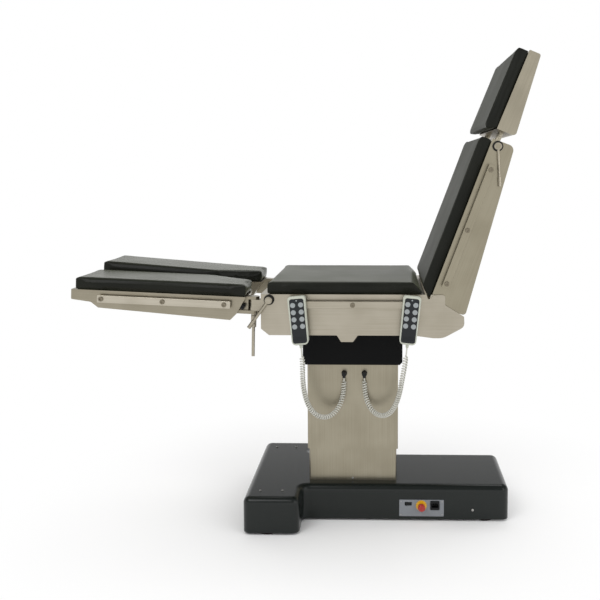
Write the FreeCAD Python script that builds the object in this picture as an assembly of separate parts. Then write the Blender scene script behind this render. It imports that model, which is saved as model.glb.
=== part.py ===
import FreeCAD, Part
import math
import os

V = FreeCAD.Vector

# An electric operating table in five sections: head, back, seat and two legs.
# Millimetres. Origin on the floor under the column's axis, +X to the head end,
# +Z up, -Y to the side with the two handsets (the patient's left).

# Overall heights, from the floor up
foot_height = 12.0          # rubber feet under the base
cover_gap = 8.0             # daylight under the base cover
base_height = 130.0         # top of the base cover
cover_bottom_z = 248.0      # lower edge of the moving column cover
head_plate_z = 557.0        # top of the moving column cover
tilt_axis_z = 640.0         # the two crossed tilting axes
deck_z = 828.6              # top face of the seat's steel deck

# Sheet metal and play
sheet = 3.0
fit_play = 0.05             # radial play of a pin in its bore
soft_gap = 0.3              # a cushion lies this far off its deck
face_gap = 0.3              # two sliding faces

# Base
crossbar_left = -371.5
crossbar_right = -178.5
crossbar_half = 298.0
stem_right = 556.0
stem_half = 171.0
base_corner = 26.0
base_round = 22.0
base_wall = 4.0
chassis_gap = 0.3
chassis_plate = 8.0
foot_radius = 28.5
foot_inset_x = 82.0
foot_inset_y = 36.0

# Column
mast_x, mast_y = 180.0, 140.0
mast_wall = 8.0
mast_top = 430.0
mast_mouth = 50.0           # the thick guide at the mast's mouth
ram_x, ram_y = 150.0, 110.0
ram_wall = 6.0
ram_corner = 8.0
ram_bottom = 170.0
skin = 1.5                  # stainless skin of the column
lower_cover_x, lower_cover_y = 157.0, 120.0     # half sizes
lower_cover_top = 440.0
upper_cover_x, upper_cover_y = 162.4, 126.0
cover_corner = 5.0
shroud_x, shroud_y = 177.4, 141.0
shroud_top = 672.0
shroud_chamfer = 10.0

# Tilting head
head_plate_x, head_plate_y = 100.0, 110.0
head_plate = 14.0
stub_r = 12.0
yoke_half = 35.0
upright_in, upright_out = 72.0, 90.0
upright_half = 30.0
hanger_in, hanger_out = 84.0, 96.0
hanger_boss = 24.0
hanger_half = 70.0

# Seat
seat_half = 262.0           # outer face of the side plates
seat_front = -306.6
seat_bottom = 688.4
seat_ear = 383.6            # rear end of the side plates
seat_deck_end = 250.0
seat_rear_wall = 230.0      # outer face of the cross wall under the deck
notch_x, notch_deep = 262.0, 15.0       # notch in the side plate before the back hinge
tab_x = -12.5               # pressed tab below each side plate
tab_z = 666.0
keel_deep = 52.0            # keels under the deck, clear of the shroud at both tilts
cushion_thick = 40.0
seat_cushion_half = seat_half - 2.0
seat_cushion_front = -290.0
seat_cushion_end_top = 213.0
seat_cushion_end_bottom = 247.0

# Sections that fold
section_half = seat_half - sheet - 1.5      # half width of legs, back and head
back_axis_x = 282.6
back_axis_drop = 12.0       # the back's hinge below the deck's face
back_angle = 69.4           # raised, as it stands
back_length = 568.0         # hinge to the top end of the frame
back_deep, back_shallow = 130.0, 78.0
back_heel = 20.0            # the frame runs on past its hinge
head_axis = back_length - 18.0          # back hinge to head hinge, along the back
head_axis_drop = 25.0       # head hinge below the deck's face
head_angle = -1.5           # against the back
head_start, head_end = 52.0, 330.0
head_deep, head_shallow = 67.0, 40.0
bar_y = 180.0
bar_r = 10.0
shaft_r = 8.0
head_shaft_end = 14.0       # what stands out of the side for the clamp lever
leg_shaft_end = 22.0
lever_hub = 13.0
lever_grip = 1.6            # the grip is thicker than the rod by this, each side
lever_grip_length = 30.0
lever_gap = 0.5
back_pin_r = 6.0
back_pin_reach = 20.0

leg_axis_x = -278.0
leg_axis_z = 810.0
leg_deck = 4.0              # the leg's deck above the hinge
leg_angle_left, leg_angle_right = 2.54, 4.6
leg_inner = 22.0            # inner side of each leg from the middle
leg_start, leg_end = 80.0, 680.0
leg_deep, leg_toe = 81.0, 34.0          # depth of the frame at the seat and at the foot
leg_cut_x = 238.0           # the corner left open at the seat
leg_cut_y = 109.0
heel_x, heel_z = 30.0, 58.0 # slope of the leg frame towards the seat
heel_run = 21.0             # and from there to the full depth
toe_long, toe_drop = 96.0, 25.6         # the step in the underside near the foot
toe_flat, toe_lip = 70.0, 7.0
lip_open_front, lip_open_rear = 40.0, 110.0     # the seat's lip leaves the leg hinge free
spread_d, spread_y = 56.0, section_half - 35.5      # the upright pin each leg swings on
spread_pin_r = 9.0
knob_r, knob_deep = 10.0, 12.0
knob_down, knob_inset = 36.0, 12.0      # place on the sloping end wall

# Side rails, the common 25 by 10 section
rail_height, rail_thick = 25.0, 10.0
rail_standoff = 14.0
leg_rail_standoff = 12.0
seat_rail_z = 796.0
seat_rail_ends = (-186.0, 214.0)
seat_rail_posts = (-128.0, 6.0, 140.0)
back_rail_drop = 30.0       # rail's middle below the deck's face
back_rail_ends = (47.0, back_length - 83.0)
back_rail_posts = (62.0, 254.0, back_length - 100.0)
leg_rail_drop = 26.0
leg_rail_ends = (129.0, 581.0)
leg_rail_posts = (150.0, 359.0, 568.0)
post_r = 6.0

# Handsets
set_width, set_height, set_thick = 60.0, 163.0, 29.0
set_back_y = seat_half + rail_standoff + rail_thick + 2.5   # back of the case
set_left = (-174.0, 747.0, -5.0)        # x, z, lean
set_right = (198.0, 749.0, 5.8)
key_r = 8.5
key_gap = 0.3
key_pitch_x, key_pitch_z = 26.5, 24.1
key_first = 54.0            # upper row above the case's middle
key_proud = 2.0
key_travel = 1.0
relief_r, relief_length = 6.0, 12.0
hook_half = 16.0
cord_r = 8.5                # outside of the curly cord
gland_left = (-30.0, 525.0)             # x, z on the column cover
gland_right = (42.0, 525.0)
gland_reach = 18.0
gland_drop = 13.0

# Power panel
panel_x0, panel_x1, panel_z0, panel_z1 = 167.0, 325.5, 19.0, 79.0
panel_thick = 2.5
switch_x, switch_z = 199.0, 64.5
switch_r, switch_half = 12.0, 6.0
switch_lean = 10.0
stop_x, stop_z = 245.5, 57.5
inlet_x, inlet_z = 293.5, 59.5
inlet_half = 16.5


def box(x0, x1, y0, y1, z0, z1):
    return Part.makeBox(x1 - x0, y1 - y0, z1 - z0, V(x0, y0, z0))


def rod(radius, start, end):
    a, b = V(*start), V(*end)
    return Part.makeCylinder(radius, (b - a).Length, a, b - a)


def at(plane, a, b, off):
    """A point of a flat drawing, off along the axis that the plane leaves out."""
    return {"xz": V(a, off, b), "xy": V(a, b, off), "yz": V(off, a, b)}[plane]


def outline(corners, plane, off):
    """A closed wire through corners (a, b, radius)."""
    edges, ends = [], []
    count = len(corners)
    for i, (a, b, r) in enumerate(corners):
        here = at(plane, a, b, off)
        before = at(plane, *corners[i - 1][:2], off)
        after = at(plane, *corners[(i + 1) % count][:2], off)
        if not r:
            ends.append((here, None, here))
            continue
        u, w = (before - here).normalize(), (after - here).normalize()
        half = u.getAngle(w) / 2
        reach = r / math.tan(half)
        middle = (u + w).normalize() * (r / math.sin(half) - r)
        ends.append((here + u * reach, here + middle, here + w * reach))
    for i, (first, middle, last) in enumerate(ends):
        if middle:
            edges.append(Part.Arc(first, middle, last).toShape())
        following = ends[(i + 1) % count][0]
        if (following - last).Length > 1e-6:
            edges.append(Part.LineSegment(last, following).toShape())
    return Part.Wire(edges)


def slab(corners, plane, start, end):
    """A flat drawing given thickness from start to end."""
    face = Part.Face(outline(corners, plane, start))
    return face.extrude(at(plane, 0, 0, end - start))


def rectangle(a0, a1, b0, b1, r):
    return [(a0, b0, r), (a1, b0, r), (a1, b1, r), (a0, b1, r)]


def tube(half_x, half_y, corner, wall, z0, z1):
    outer = slab(rectangle(-half_x, half_x, -half_y, half_y, corner), "xy", z0, z1)
    in_x, in_y = half_x - wall, half_y - wall
    inner = rectangle(-in_x, in_x, -in_y, in_y, max(corner - wall, 0.5))
    return outer.cut(slab(inner, "xy", z0 - 1, z1 + 1))


def mirrored(shape):
    return shape.mirror(V(0, 0, 0), V(0, 1, 0))


def both_sides(shape):
    return [shape, mirrored(shape)]


def fused(shapes):
    shape = shapes[0].fuse(list(shapes[1:])) if len(shapes) > 1 else shapes[0]
    return shape.removeSplitter()


def rounded(shape, radius, wanted):
    return shape.makeFillet(radius, [e for e in shape.Edges if wanted(e)])


def bevelled(shape, size, wanted):
    return shape.makeChamfer(size, [e for e in shape.Edges if wanted(e)])


def raised(shape, x, z, angle):
    """Turned about a hinge along Y, so that what points to +X rises."""
    turned = shape.copy()
    turned.rotate(V(x, 0, z), V(0, -1, 0), angle)
    return turned


def save(name, shapes):
    shape = shapes if isinstance(shapes, Part.Shape) else Part.makeCompound(shapes)
    shape.exportStep("parts/" + name + ".step")


# Base: a T of two arms with one cover over a steel chassis

def base_plan(inset, corner):
    left, right = crossbar_left + inset, stem_right - inset
    wide, narrow = crossbar_half - inset, stem_half - inset
    waist = crossbar_right - inset
    return [(left, -wide, corner), (waist, -wide, corner), (waist, -narrow, corner),
            (right, -narrow, corner), (right, narrow, corner), (waist, narrow, corner),
            (waist, wide, corner), (left, wide, corner)]


def base_form(inset, z0, z1, corner, round_top):
    body = slab(base_plan(inset, corner), "xy", z0, z1)
    return rounded(body, round_top, lambda e: e.BoundBox.ZMin > z1 - 0.01)


def panel_face(offset):
    """Height y of the cover's side face, moved out by offset."""
    return -stem_half - offset


def base_cover():
    outer = base_form(0, cover_gap, base_height, base_corner, base_round)
    inner = base_form(base_wall, cover_gap - 1, base_height - base_wall,
                      base_corner - base_wall, base_round - base_wall)
    shell = outer.cut(inner)
    well = box(-mast_x / 2 - 18, mast_x / 2 + 18, -mast_y / 2 - 18, mast_y / 2 + 18,
               base_height - 20, base_height + 1)
    window = box(panel_x0 + 8, panel_x1 - 8, panel_face(1), panel_face(-base_wall - 1),
                 panel_z0 + 8, panel_z1 - 4)
    return shell.cut([well, window])


def foot_places():
    x0 = crossbar_left + foot_inset_x
    y0 = crossbar_half - foot_inset_y
    x1 = stem_right - foot_inset_x
    y1 = stem_half - foot_inset_y
    return [(x0, -y0), (x0, y0), (x1, -y1), (x1, y1)]


def floor_feet():
    feet = []
    for x, y in foot_places():
        pad = Part.makeCone(foot_radius, foot_radius - 4, foot_height, V(x, y, 0))
        feet.append(pad)
    return feet


def base_chassis():
    top = foot_height + chassis_plate
    inset = base_wall + chassis_gap
    plate = slab(base_plan(inset, base_corner - inset), "xy", foot_height, top)
    flange = box(-mast_x / 2 - 30, mast_x / 2 + 30, -mast_y / 2 - 25, mast_y / 2 + 25,
                 top, top + 12)
    mast = tube(mast_x / 2, mast_y / 2, 10, mast_wall, top, mast_top)
    lining = slab(rectangle(-mast_x / 2 + 1, mast_x / 2 - 1, -mast_y / 2 + 1, mast_y / 2 - 1, 9),
                  "xy", mast_top - mast_mouth, mast_top)
    bore_x, bore_y = ram_x / 2 + face_gap, ram_y / 2 + face_gap
    lining = lining.cut(slab(rectangle(-bore_x, bore_x, -bore_y, bore_y, ram_corner + face_gap),
                             "xy", mast_top - mast_mouth - 1, mast_top + 1))
    foot_top = top + 12
    gussets = []
    for s in (-1, 1):
        web = [(s * mast_x / 2 - s, foot_top - 1, 0), (s * (mast_x / 2 + 28), foot_top - 1, 0),
               (s * mast_x / 2 - s, foot_top + 70, 0)]
        gussets += [slab(web, "xz", y - 4, y + 4) for y in (-45, 45)]
    return fused([plate, flange, mast, lining] + gussets)


# Column: two skins that slide in each other round the mast and its ram

def lower_column_cover():
    skin_tube = tube(lower_cover_x, lower_cover_y, cover_corner, skin,
                     base_height, lower_cover_top)
    hem = tube(lower_cover_x, lower_cover_y, cover_corner, skin + 14,
               base_height, base_height + skin)
    return fused([skin_tube, hem])


def upper_column_cover():
    skin_tube = tube(upper_cover_x, upper_cover_y, cover_corner, skin,
                     cover_bottom_z, head_plate_z)
    rim = tube(upper_cover_x, upper_cover_y, cover_corner, skin + 20,
               head_plate_z - skin, head_plate_z)
    holes = [rod(7, (x, -upper_cover_y - 2, z), (x, -upper_cover_y + 4, z))
             for x, z in (gland_left, gland_right)]
    return fused([skin_tube, rim]).cut(holes)


def lift_ram():
    return tube(ram_x / 2, ram_y / 2, ram_corner, ram_wall, ram_bottom, head_plate_z)


def lift_head():
    top = head_plate_z + head_plate
    plate = box(-head_plate_x, head_plate_x, -head_plate_y, head_plate_y,
                head_plate_z, top)
    ear = [(-upright_half - 12, top - 1, 0), (upright_half + 12, top - 1, 0),
           (upright_half, tilt_axis_z + upright_half, upright_half - 1),
           (-upright_half, tilt_axis_z + upright_half, upright_half - 1)]
    uprights = both_sides(slab(ear, "xz", upright_in, upright_out))
    bore = rod(stub_r + fit_play, (0, -upright_out - 1, tilt_axis_z),
               (0, upright_out + 1, tilt_axis_z))
    return fused([plate] + uprights).cut(bore)


def column_shroud():
    z0, z1 = head_plate_z, shroud_top
    side = [(-shroud_x, z1, 0), (-shroud_x, z0 + shroud_chamfer, 2),
            (-shroud_x + shroud_chamfer, z0, 2), (shroud_x - shroud_chamfer, z0, 2),
            (shroud_x, z0 + shroud_chamfer, 2), (shroud_x, z1, 0)]
    outer = slab(side, "xz", -shroud_y, shroud_y)
    outer = rounded(outer, 6, lambda e: e.BoundBox.XLength < 0.01
                    and e.BoundBox.YLength < 0.01 and e.BoundBox.ZLength > 20)
    inner = box(-shroud_x + sheet, shroud_x - sheet, -shroud_y + sheet,
                shroud_y - sheet, z0 + shroud_chamfer + sheet, z1 + 1)
    inner = inner.fuse(box(-shroud_x + shroud_chamfer + sheet,
                           shroud_x - shroud_chamfer - sheet, -shroud_y + sheet,
                           shroud_y - sheet, z0 + sheet, z1))
    well = box(-head_plate_x - face_gap, head_plate_x + face_gap,
               -head_plate_y - face_gap, head_plate_y + face_gap, z0 - 1, z0 + sheet + 1)
    return outer.cut([inner, well])


def cord_glands():
    """A round socket on the column cover with the cord's elbow in it."""
    glands = []
    for x, z in (gland_left, gland_right):
        y0 = -upper_cover_y
        flange = rod(10, (x, y0, z), (x, y0 - 3, z))
        nose = rod(8, (x, y0 - 2, z), (x, y0 - gland_reach - 8, z))
        elbow = rod(5.5, (x, y0 - gland_reach, z), (x, y0 - gland_reach, z - gland_drop))
        spigot = rod(6.5, (x, y0 + skin + 4, z), (x, y0, z))
        glands.append(fused([flange, nose, elbow, spigot]))
    return glands


# Tilting cross and seat

def tilt_yoke():
    h, z = yoke_half, tilt_axis_z
    block = box(-h, h, -h, h, z - h * 0.8, z + h * 0.8)
    block = rounded(block, 6, lambda e: e.BoundBox.ZLength > h)
    along = rod(stub_r, (-hanger_out - 2, 0, z), (hanger_out + 2, 0, z))
    across = rod(stub_r, (0, -upright_out - 2, z), (0, upright_out + 2, z))
    return fused([block, along, across])


def hanger(side):
    """One of the seat's two legs on the cross, side -1 front and 1 rear."""
    x0, x1 = sorted((side * hanger_in, side * hanger_out))
    z = tilt_axis_z
    web = [(-hanger_half, deck_z - 1, 0), (-hanger_boss, z - hanger_boss, hanger_boss - 1),
           (hanger_boss, z - hanger_boss, hanger_boss - 1), (hanger_half, deck_z - 1, 0)]
    shape = slab(web, "yz", x0, x1)
    return shape.cut(rod(stub_r + fit_play, (x0 - 1, 0, z), (x1 + 1, 0, z)))


def side_plate_drawing():
    drop = 25.0
    return [(seat_front, deck_z, 2), (seat_front, seat_bottom + drop - 3, 4),
            (seat_front + drop + 2, seat_bottom, 4),
            (tab_x - 36, seat_bottom, 4), (tab_x - 22, tab_z, 4),
            (tab_x + 19, tab_z, 4), (tab_x + 35, seat_bottom, 4),
            (seat_ear - 170, seat_bottom, 60), (seat_ear - 105, seat_bottom - 8.4, 60),
            (seat_ear - 72, seat_bottom - 8.4, 60), (seat_ear, seat_bottom + 31, 22),
            (seat_ear - 1.6, seat_bottom + 65.6, 3),
            (seat_ear - 66, deck_z - 35.1, 5), (seat_ear - 66, deck_z - 1, 9),
            (seat_ear - 110, deck_z, 20)]


def seat_frame():
    inner = seat_half - sheet
    plate = slab(side_plate_drawing(), "xz", -seat_half, -inner)
    notch = [(notch_x - 8, deck_z + 1, 0), (notch_x - 4, deck_z - notch_deep, 2),
             (notch_x + 4, deck_z - notch_deep, 2), (notch_x + 8, deck_z + 1, 0)]
    plate = plate.cut(slab(notch, "xz", -seat_half - 1, -inner + 1))
    lip = box(seat_front + 2, seat_ear - 160, -inner - 1, -inner + 12,
              seat_bottom + 1, seat_bottom + 1 + sheet)
    lip = lip.cut(box(leg_axis_x - lip_open_front, leg_axis_x + lip_open_rear,
                      -inner - 2, -inner + 20, seat_bottom, deck_z))
    deck = box(seat_front, seat_deck_end, -seat_half, seat_half, deck_z - sheet, deck_z)
    rear = box(seat_rear_wall - sheet, seat_rear_wall, -inner - 1, inner + 1,
               seat_bottom + 22, deck_z - 1)
    rear = rear.cut(slab(rectangle(-150, 150, seat_bottom + 50, deck_z - 40, 20), "yz",
                         seat_rear_wall - sheet - 1, seat_rear_wall + 1))
    front = box(hanger_out - 148, hanger_out - 148 + sheet, -inner - 1, inner + 1,
                deck_z - 45, deck_z - 1)
    keels = both_sides(box(-hanger_out, seat_deck_end, -hanger_half - sheet,
                           -hanger_half, deck_z - keel_deep, deck_z - 1))
    shape = fused(both_sides(plate) + both_sides(lip) + [deck, rear, front]
                  + keels + [hanger(-1), hanger(1)])
    z = deck_z - back_axis_drop
    bores = []
    for s in (-1, 1):
        y0, y1 = s * (inner - 2), s * (seat_half + 2)
        bores.append(rod(shaft_r + fit_play, (leg_axis_x, y0, leg_axis_z),
                         (leg_axis_x, y1, leg_axis_z)))
        bores.append(rod(back_pin_r + fit_play, (back_axis_x, y0, z), (back_axis_x, y1, z)))
    return shape.cut(bores)


def seat_cushion():
    z0, z1 = deck_z + soft_gap, deck_z + cushion_thick
    side = [(seat_cushion_front, z0, 0), (seat_cushion_end_bottom, z0, 0),
            (seat_cushion_end_top, z1, 6), (seat_cushion_front, z1, 6)]
    return slab(side, "xz", -seat_cushion_half, seat_cushion_half)


def seat_hinge_shafts():
    """The shaft both legs hang on, and the two pins of the back."""
    reach = seat_half + leg_shaft_end
    shaft = rod(shaft_r, (leg_axis_x, -reach, leg_axis_z), (leg_axis_x, reach, leg_axis_z))
    z = deck_z - back_axis_drop
    pin = rod(back_pin_r, (back_axis_x, -seat_half - 3, z),
              (back_axis_x, -seat_half + back_pin_reach, z))
    cap = rod(back_pin_r + 4, (back_axis_x, -seat_half - 3.5, z), (back_axis_x, -seat_half, z))
    return [shaft] + both_sides(fused([pin, cap]))


def rail(x0, x1, middle_z, face, standoff, posts):
    """One side rail on its stand-off posts, on the -Y side."""
    y1 = -face - standoff
    bar = box(x0, x1, y1 - rail_thick, y1, middle_z - rail_height / 2,
              middle_z + rail_height / 2)
    bar = rounded(bar, 1.5, lambda e: e.BoundBox.XLength > (x1 - x0) - 1)
    stems = [rod(post_r, (x, -face, middle_z), (x, y1 - 1, middle_z)) for x in posts]
    return fused([bar] + stems)


def seat_rails():
    return both_sides(rail(*seat_rail_ends, seat_rail_z, seat_half, rail_standoff,
                           seat_rail_posts))


# Handsets

def place_handset(shape, spot):
    x, z, lean = spot
    placed = shape.copy()
    placed.rotate(V(0, 0, 0), V(0, 1, 0), lean)
    placed.translate(V(x, 0, z))
    return placed


def key_places():
    return [(column * key_pitch_x / 2, key_first - row * key_pitch_z)
            for row in range(4) for column in (-1, 1)]


def handset(spot):
    w, h = set_width / 2, set_height / 2
    y0, y1 = -set_back_y - set_thick, -set_back_y
    corners = [(-w + 2, -h, 15), (w - 2, -h, 15), (w, h, 9), (-w, h, 9)]
    case = slab(corners, "xz", y0, y1)
    case = bevelled(case, 3, lambda e: e.BoundBox.YLength < 0.01)
    wells = [rod(key_r + key_gap, (x, y0 - 1, z), (x, y0 + 6, z)) for x, z in key_places()]
    case = case.cut(wells)
    grips = [box(-w + 12, w - 12, y0 - 0.8, y0 + 1, z, z + 2.2)
             for z in (-h + 14 + 5.2 * n for n in range(3))]
    # the hook behind the case rests on the rail's top edge
    x, middle, lean = spot
    a = math.radians(abs(lean))
    rail_top = (seat_rail_z + rail_height / 2 - middle) / math.cos(a)
    z0 = rail_top + hook_half * math.tan(a) + face_gap
    rail_back = seat_half + rail_standoff
    over = box(-hook_half, hook_half, y1 - 1, -rail_back + 3.2, z0, z0 + 3.5)
    tongue = box(-hook_half, hook_half, -rail_back + 0.8, -rail_back + 3.2, z0 - 18, z0 + 1)
    relief = Part.makeCone(relief_r, relief_r - 1.5, relief_length + 2,
                           V(0, (y0 + y1) / 2, -h + 2), V(0, 0, -1))
    return place_handset(fused([case, over, tongue, relief] + grips), spot)


def handset_key(place, spot):
    x, z = place
    y0 = -set_back_y - set_thick
    key = rod(key_r, (x, y0 - key_proud, z), (x, y0 + 6 - key_travel - 0.3, z))
    key = bevelled(key, 0.8, lambda e: abs(e.BoundBox.YMin - (y0 - key_proud)) < 0.01
                   and e.BoundBox.YLength < 0.01)
    return place_handset(key, spot)


def handset_bottom(spot):
    """Where the cord leaves the handset, and the way it points."""
    x, z, lean = spot
    a = math.radians(lean)
    down = V(-math.sin(a), 0, -math.cos(a))
    start = V(x, -set_back_y - set_thick / 2, z) + down * (set_height / 2 + relief_length)
    return start + down * face_gap, down


def cord_end(gland):
    x, z = gland
    return V(x, -upper_cover_y - gland_reach, z - gland_drop - face_gap)


def front_route():
    start, down = handset_bottom(set_left)
    end = cord_end(gland_left)
    return [start, start + down * 52, V(-163, -294, 546), V(-159, -278, 490),
            V(-145, -257, 436), V(-117, -234, 397), V(-78, -205, 386), V(-45, -174, 412),
            end - V(0, 0, 52), end]


def rear_route():
    start, down = handset_bottom(set_right)
    end = cord_end(gland_right)
    return [start, start + down * 52, V(173, -296, 547), V(165, -280, 493),
            V(150, -257, 441), V(125, -232, 403), V(90, -203, 393), V(59, -172, 415),
            end - V(0, 0, 51), end]


def cord_tube(route, label):
    """Straight runs joined by tangent arcs, as one fat tube."""
    edges, ends, radii = [], [(route[0], None, route[0])], []
    for before, here, after in zip(route, route[1:], route[2:]):
        u, w = before - here, after - here
        shorter = min(u.Length, w.Length)
        u, w = u.normalize(), w.normalize()
        half = u.getAngle(w) / 2
        reach = 0.45 * shorter
        radius = reach * math.tan(half)
        radii.append(radius)
        bulge = (u + w).normalize() * (radius / math.sin(half) - radius)
        ends.append((here + u * reach, here + bulge, here + w * reach))
    ends.append((route[-1], None, route[-1]))
    for (_, _, last), (first, middle, far) in zip(ends, ends[1:]):
        edges.append(Part.LineSegment(last, first).toShape())
        if middle:
            edges.append(Part.Arc(first, middle, far).toShape())
    path = Part.Wire(edges)
    circle = Part.Wire(Part.makeCircle(cord_r, route[0], route[1] - route[0]))
    solid = path.makePipeShell([circle], True, True)
    share = solid.Volume / (math.pi * cord_r ** 2 * path.Length)
    print(label, "length", round(path.Length), "radii", [round(r) for r in radii],
          "volume over section times length", round(share, 4))
    return solid


# Back and head

def back_flat(shape):
    return raised(shape, back_axis_x, deck_z - back_axis_drop, back_angle)


def head_point():
    """The head's hinge while the back lies flat."""
    return back_axis_x + head_axis, deck_z - head_axis_drop


def head_flat(shape):
    return back_flat(raised(shape, *head_point(), head_angle))


def wedge(start, end, deep_start, deep_end, inset, corner):
    """Side drawing of a section frame, deeper at one end, drawn in from all sides."""
    top = deck_z - inset
    slope = (deep_end - deep_start) / (end - start)
    a, b = start + inset, end - inset
    return [(a, top, 0.8), (b, top, 2), (b, deck_z - deep_end + inset - slope * inset, corner),
            (a, deck_z - deep_start + inset, 12)]


def back_frame():
    x0, x1 = back_axis_x - back_heel, back_axis_x + back_length
    outer = slab(wedge(x0, x1, back_deep, back_shallow, 0, 20), "xz",
                 -section_half, section_half)
    inner = slab(wedge(x0, x1, back_deep, back_shallow, sheet, 17), "xz",
                 -section_half + sheet, section_half - sheet)
    shape = outer.cut(inner)
    hx, hz = head_point()
    slots = [box(hx - 20, x1 + 1, y - 13, y + 13, deck_z - back_shallow - 9,
                 deck_z - sheet) for y in (-bar_y, bar_y)]
    z = deck_z - back_axis_drop
    pins = [rod(back_pin_r + fit_play, (back_axis_x, s * (seat_half - back_pin_reach - 1), z),
                (back_axis_x, s * (section_half + 1), z)) for s in (-1, 1)]
    # the head's shaft is welded through both side walls
    reach = section_half + head_shaft_end
    shaft = rod(shaft_r, (hx, -reach, hz), (hx, reach, hz))
    return back_flat(fused([shape.cut(slots + pins), shaft]))


def back_cushion():
    z0, z1 = deck_z + soft_gap, deck_z + cushion_thick
    a, b = back_axis_x - 12, back_axis_x + back_length - 3
    side = [(a, z0, 0), (b, z0, 0), (b, z1, 6), (a + 33, z1, 6)]
    return back_flat(slab(side, "xz", -section_half, section_half))


def back_rails():
    shape = rail(back_axis_x + back_rail_ends[0], back_axis_x + back_rail_ends[1],
                 deck_z - back_rail_drop, section_half, rail_standoff,
                 [back_axis_x + x for x in back_rail_posts])
    return [back_flat(s) for s in both_sides(shape)]


def head_frame():
    hx, hz = head_point()
    x0, x1 = hx + head_start, hx + head_end
    outer = slab(wedge(x0, x1, head_deep, head_shallow, 0, 8), "xz",
                 -section_half, section_half)
    inner = slab(wedge(x0, x1, head_deep, head_shallow, sheet, 5), "xz",
                 -section_half + sheet, section_half - sheet)
    bars, eyes, bores = [], [], []
    for y in (-bar_y, bar_y):
        bars.append(rod(bar_r, (hx + shaft_r + 2, y, hz), (x0 + sheet + 30, y, hz)))
        eyes.append(rod(shaft_r + 6, (hx, y - 11, hz), (hx, y + 11, hz)))
        bores.append(rod(shaft_r + fit_play, (hx, y - 12, hz), (hx, y + 12, hz)))
    return head_flat(fused([outer.cut(inner)] + bars + eyes).cut(bores))


def head_cushion():
    hx, hz = head_point()
    z0, z1 = deck_z + soft_gap, deck_z + cushion_thick
    a, b = hx + head_start, hx + head_end - 3
    side = [(a, z0, 0), (b, z0, 0), (b, z1, 6), (a - 17, z1, 6)]
    return head_flat(slab(side, "xz", -section_half, section_half))


def clamp_lever(x, z, face, depth, tip, rod_r):
    """A hub on a shaft's end with a straight rod to its tip, on the -Y side."""
    y0 = -face - lever_gap
    y1 = y0 - depth
    hub = rod(lever_hub, (x, y0, z), (x, y1, z))
    hub = bevelled(hub, 1.5, lambda e: abs(e.BoundBox.YMin - y1) < 0.01
                   and e.BoundBox.YLength < 0.01)
    rod_y = y1 + rod_r + 0.5
    start, end = V(x, rod_y, z), V(tip[0], rod_y, tip[1])
    stick = rod(rod_r, start, end)
    grip = rod(rod_r + lever_grip, end - (end - start).normalize() * lever_grip_length, end)
    shape = fused([hub, stick, grip])
    return shape.cut(rod(shaft_r + fit_play, (x, y0 + 1, z), (x, y1 - 1, z)))


def head_lever():
    hub = back_flat(Part.Vertex(V(head_point()[0], 0, head_point()[1]))).Point
    return clamp_lever(hub.x, hub.z, section_half, head_shaft_end - 2,
                       (hub.x + 7.5, hub.z - 133), 4.0)


def leg_clamp_lever():
    return clamp_lever(leg_axis_x, leg_axis_z, seat_half, leg_shaft_end - 2,
                       (leg_axis_x - 68, leg_axis_z - 94), 5.0)


# Legs, drawn level on the -Y side; x runs from the hinge to the foot at -X

def leg_place(shape, side):
    """Raises a level leg piece to its place, side -1 left and 1 right."""
    if side > 0:
        shape = mirrored(shape)
    angle = leg_angle_left if side < 0 else leg_angle_right
    return raised(shape, leg_axis_x, leg_axis_z, -angle)


def leg_side(inset):
    x, z = leg_axis_x, leg_axis_z + leg_deck
    a, b, i = leg_start + inset, leg_end - inset, inset
    return [(x - a, z - i, 0.5), (x - a - heel_x, z - heel_z + i, 5),
            (x - a - heel_x - heel_run, z - leg_deep + i, 5),
            (x - leg_end + toe_long + i, z - leg_toe - toe_drop + i, 3),
            (x - leg_end + toe_flat, z - leg_toe - toe_lip + i, 8),
            (x - b, z - leg_toe + i, 6), (x - b, z - i, 3)]


def leg_plan(inset):
    x = leg_axis_x
    a, b, i = leg_start + inset, leg_end - inset, inset
    outer, inner = -section_half + i, -leg_inner - i
    cut = leg_cut_y + i * 1.2
    return [(x - a, outer, 6), (x - a, -cut, 12), (x - leg_cut_x, inner, 40),
            (x - b, inner, 8), (x - b, outer, 8)]


def leg_shell(inset):
    side = slab(leg_side(inset), "xz", -section_half - 1, 0)
    plan = slab(leg_plan(inset), "xy", leg_axis_z - 90, leg_axis_z + 60)
    return side.common(plan)


def leg_frame(side):
    x, z = leg_axis_x, leg_axis_z
    px, py = x - spread_d, -spread_y
    lugs = []
    for z0, z1, back in ((z - 5.7, z + leg_deck, 94), (z - 56, z - 44.3, 120)):
        lug = [(px + 18, py - 18, 17), (px + 18, py + 18, 17),
               (x - back, py + 18, 0), (x - back, py - 18, 0)]
        lugs.append(slab(lug, "xy", z0, z1))
    # between the lugs a web closes the end wall, clear of the knuckle's round nose
    web = box(x - leg_start - heel_x + 2, px - 6, py - 9, py + 18, z - 50, z - 1)
    web = web.cut(rod(21, (px, py, z - 60), (px, py, z + 10)))
    web = web.cut(leg_shell(sheet))
    shape = fused([leg_shell(0).cut(leg_shell(sheet)), web] + lugs)
    pin = rod(spread_pin_r + fit_play, (px, py, z - 70), (px, py, z + 30))
    seat, down, out = knob_seat()
    stud = rod(3 + fit_play, seat - out * 8, seat + out * 8)
    return leg_place(shape.cut([pin, stud]), side)


def leg_cushion(side):
    x, z = leg_axis_x, leg_axis_z + leg_deck
    plan = [(x - leg_start, -section_half, 5), (x - leg_start, -leg_cut_y, 12),
            (x - leg_cut_x, -leg_inner, 60), (x - leg_end + 10, -leg_inner, 6),
            (x - leg_end + 10, -section_half, 6)]
    return leg_place(slab(plan, "xy", z + soft_gap, z + cushion_thick), side)


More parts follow.
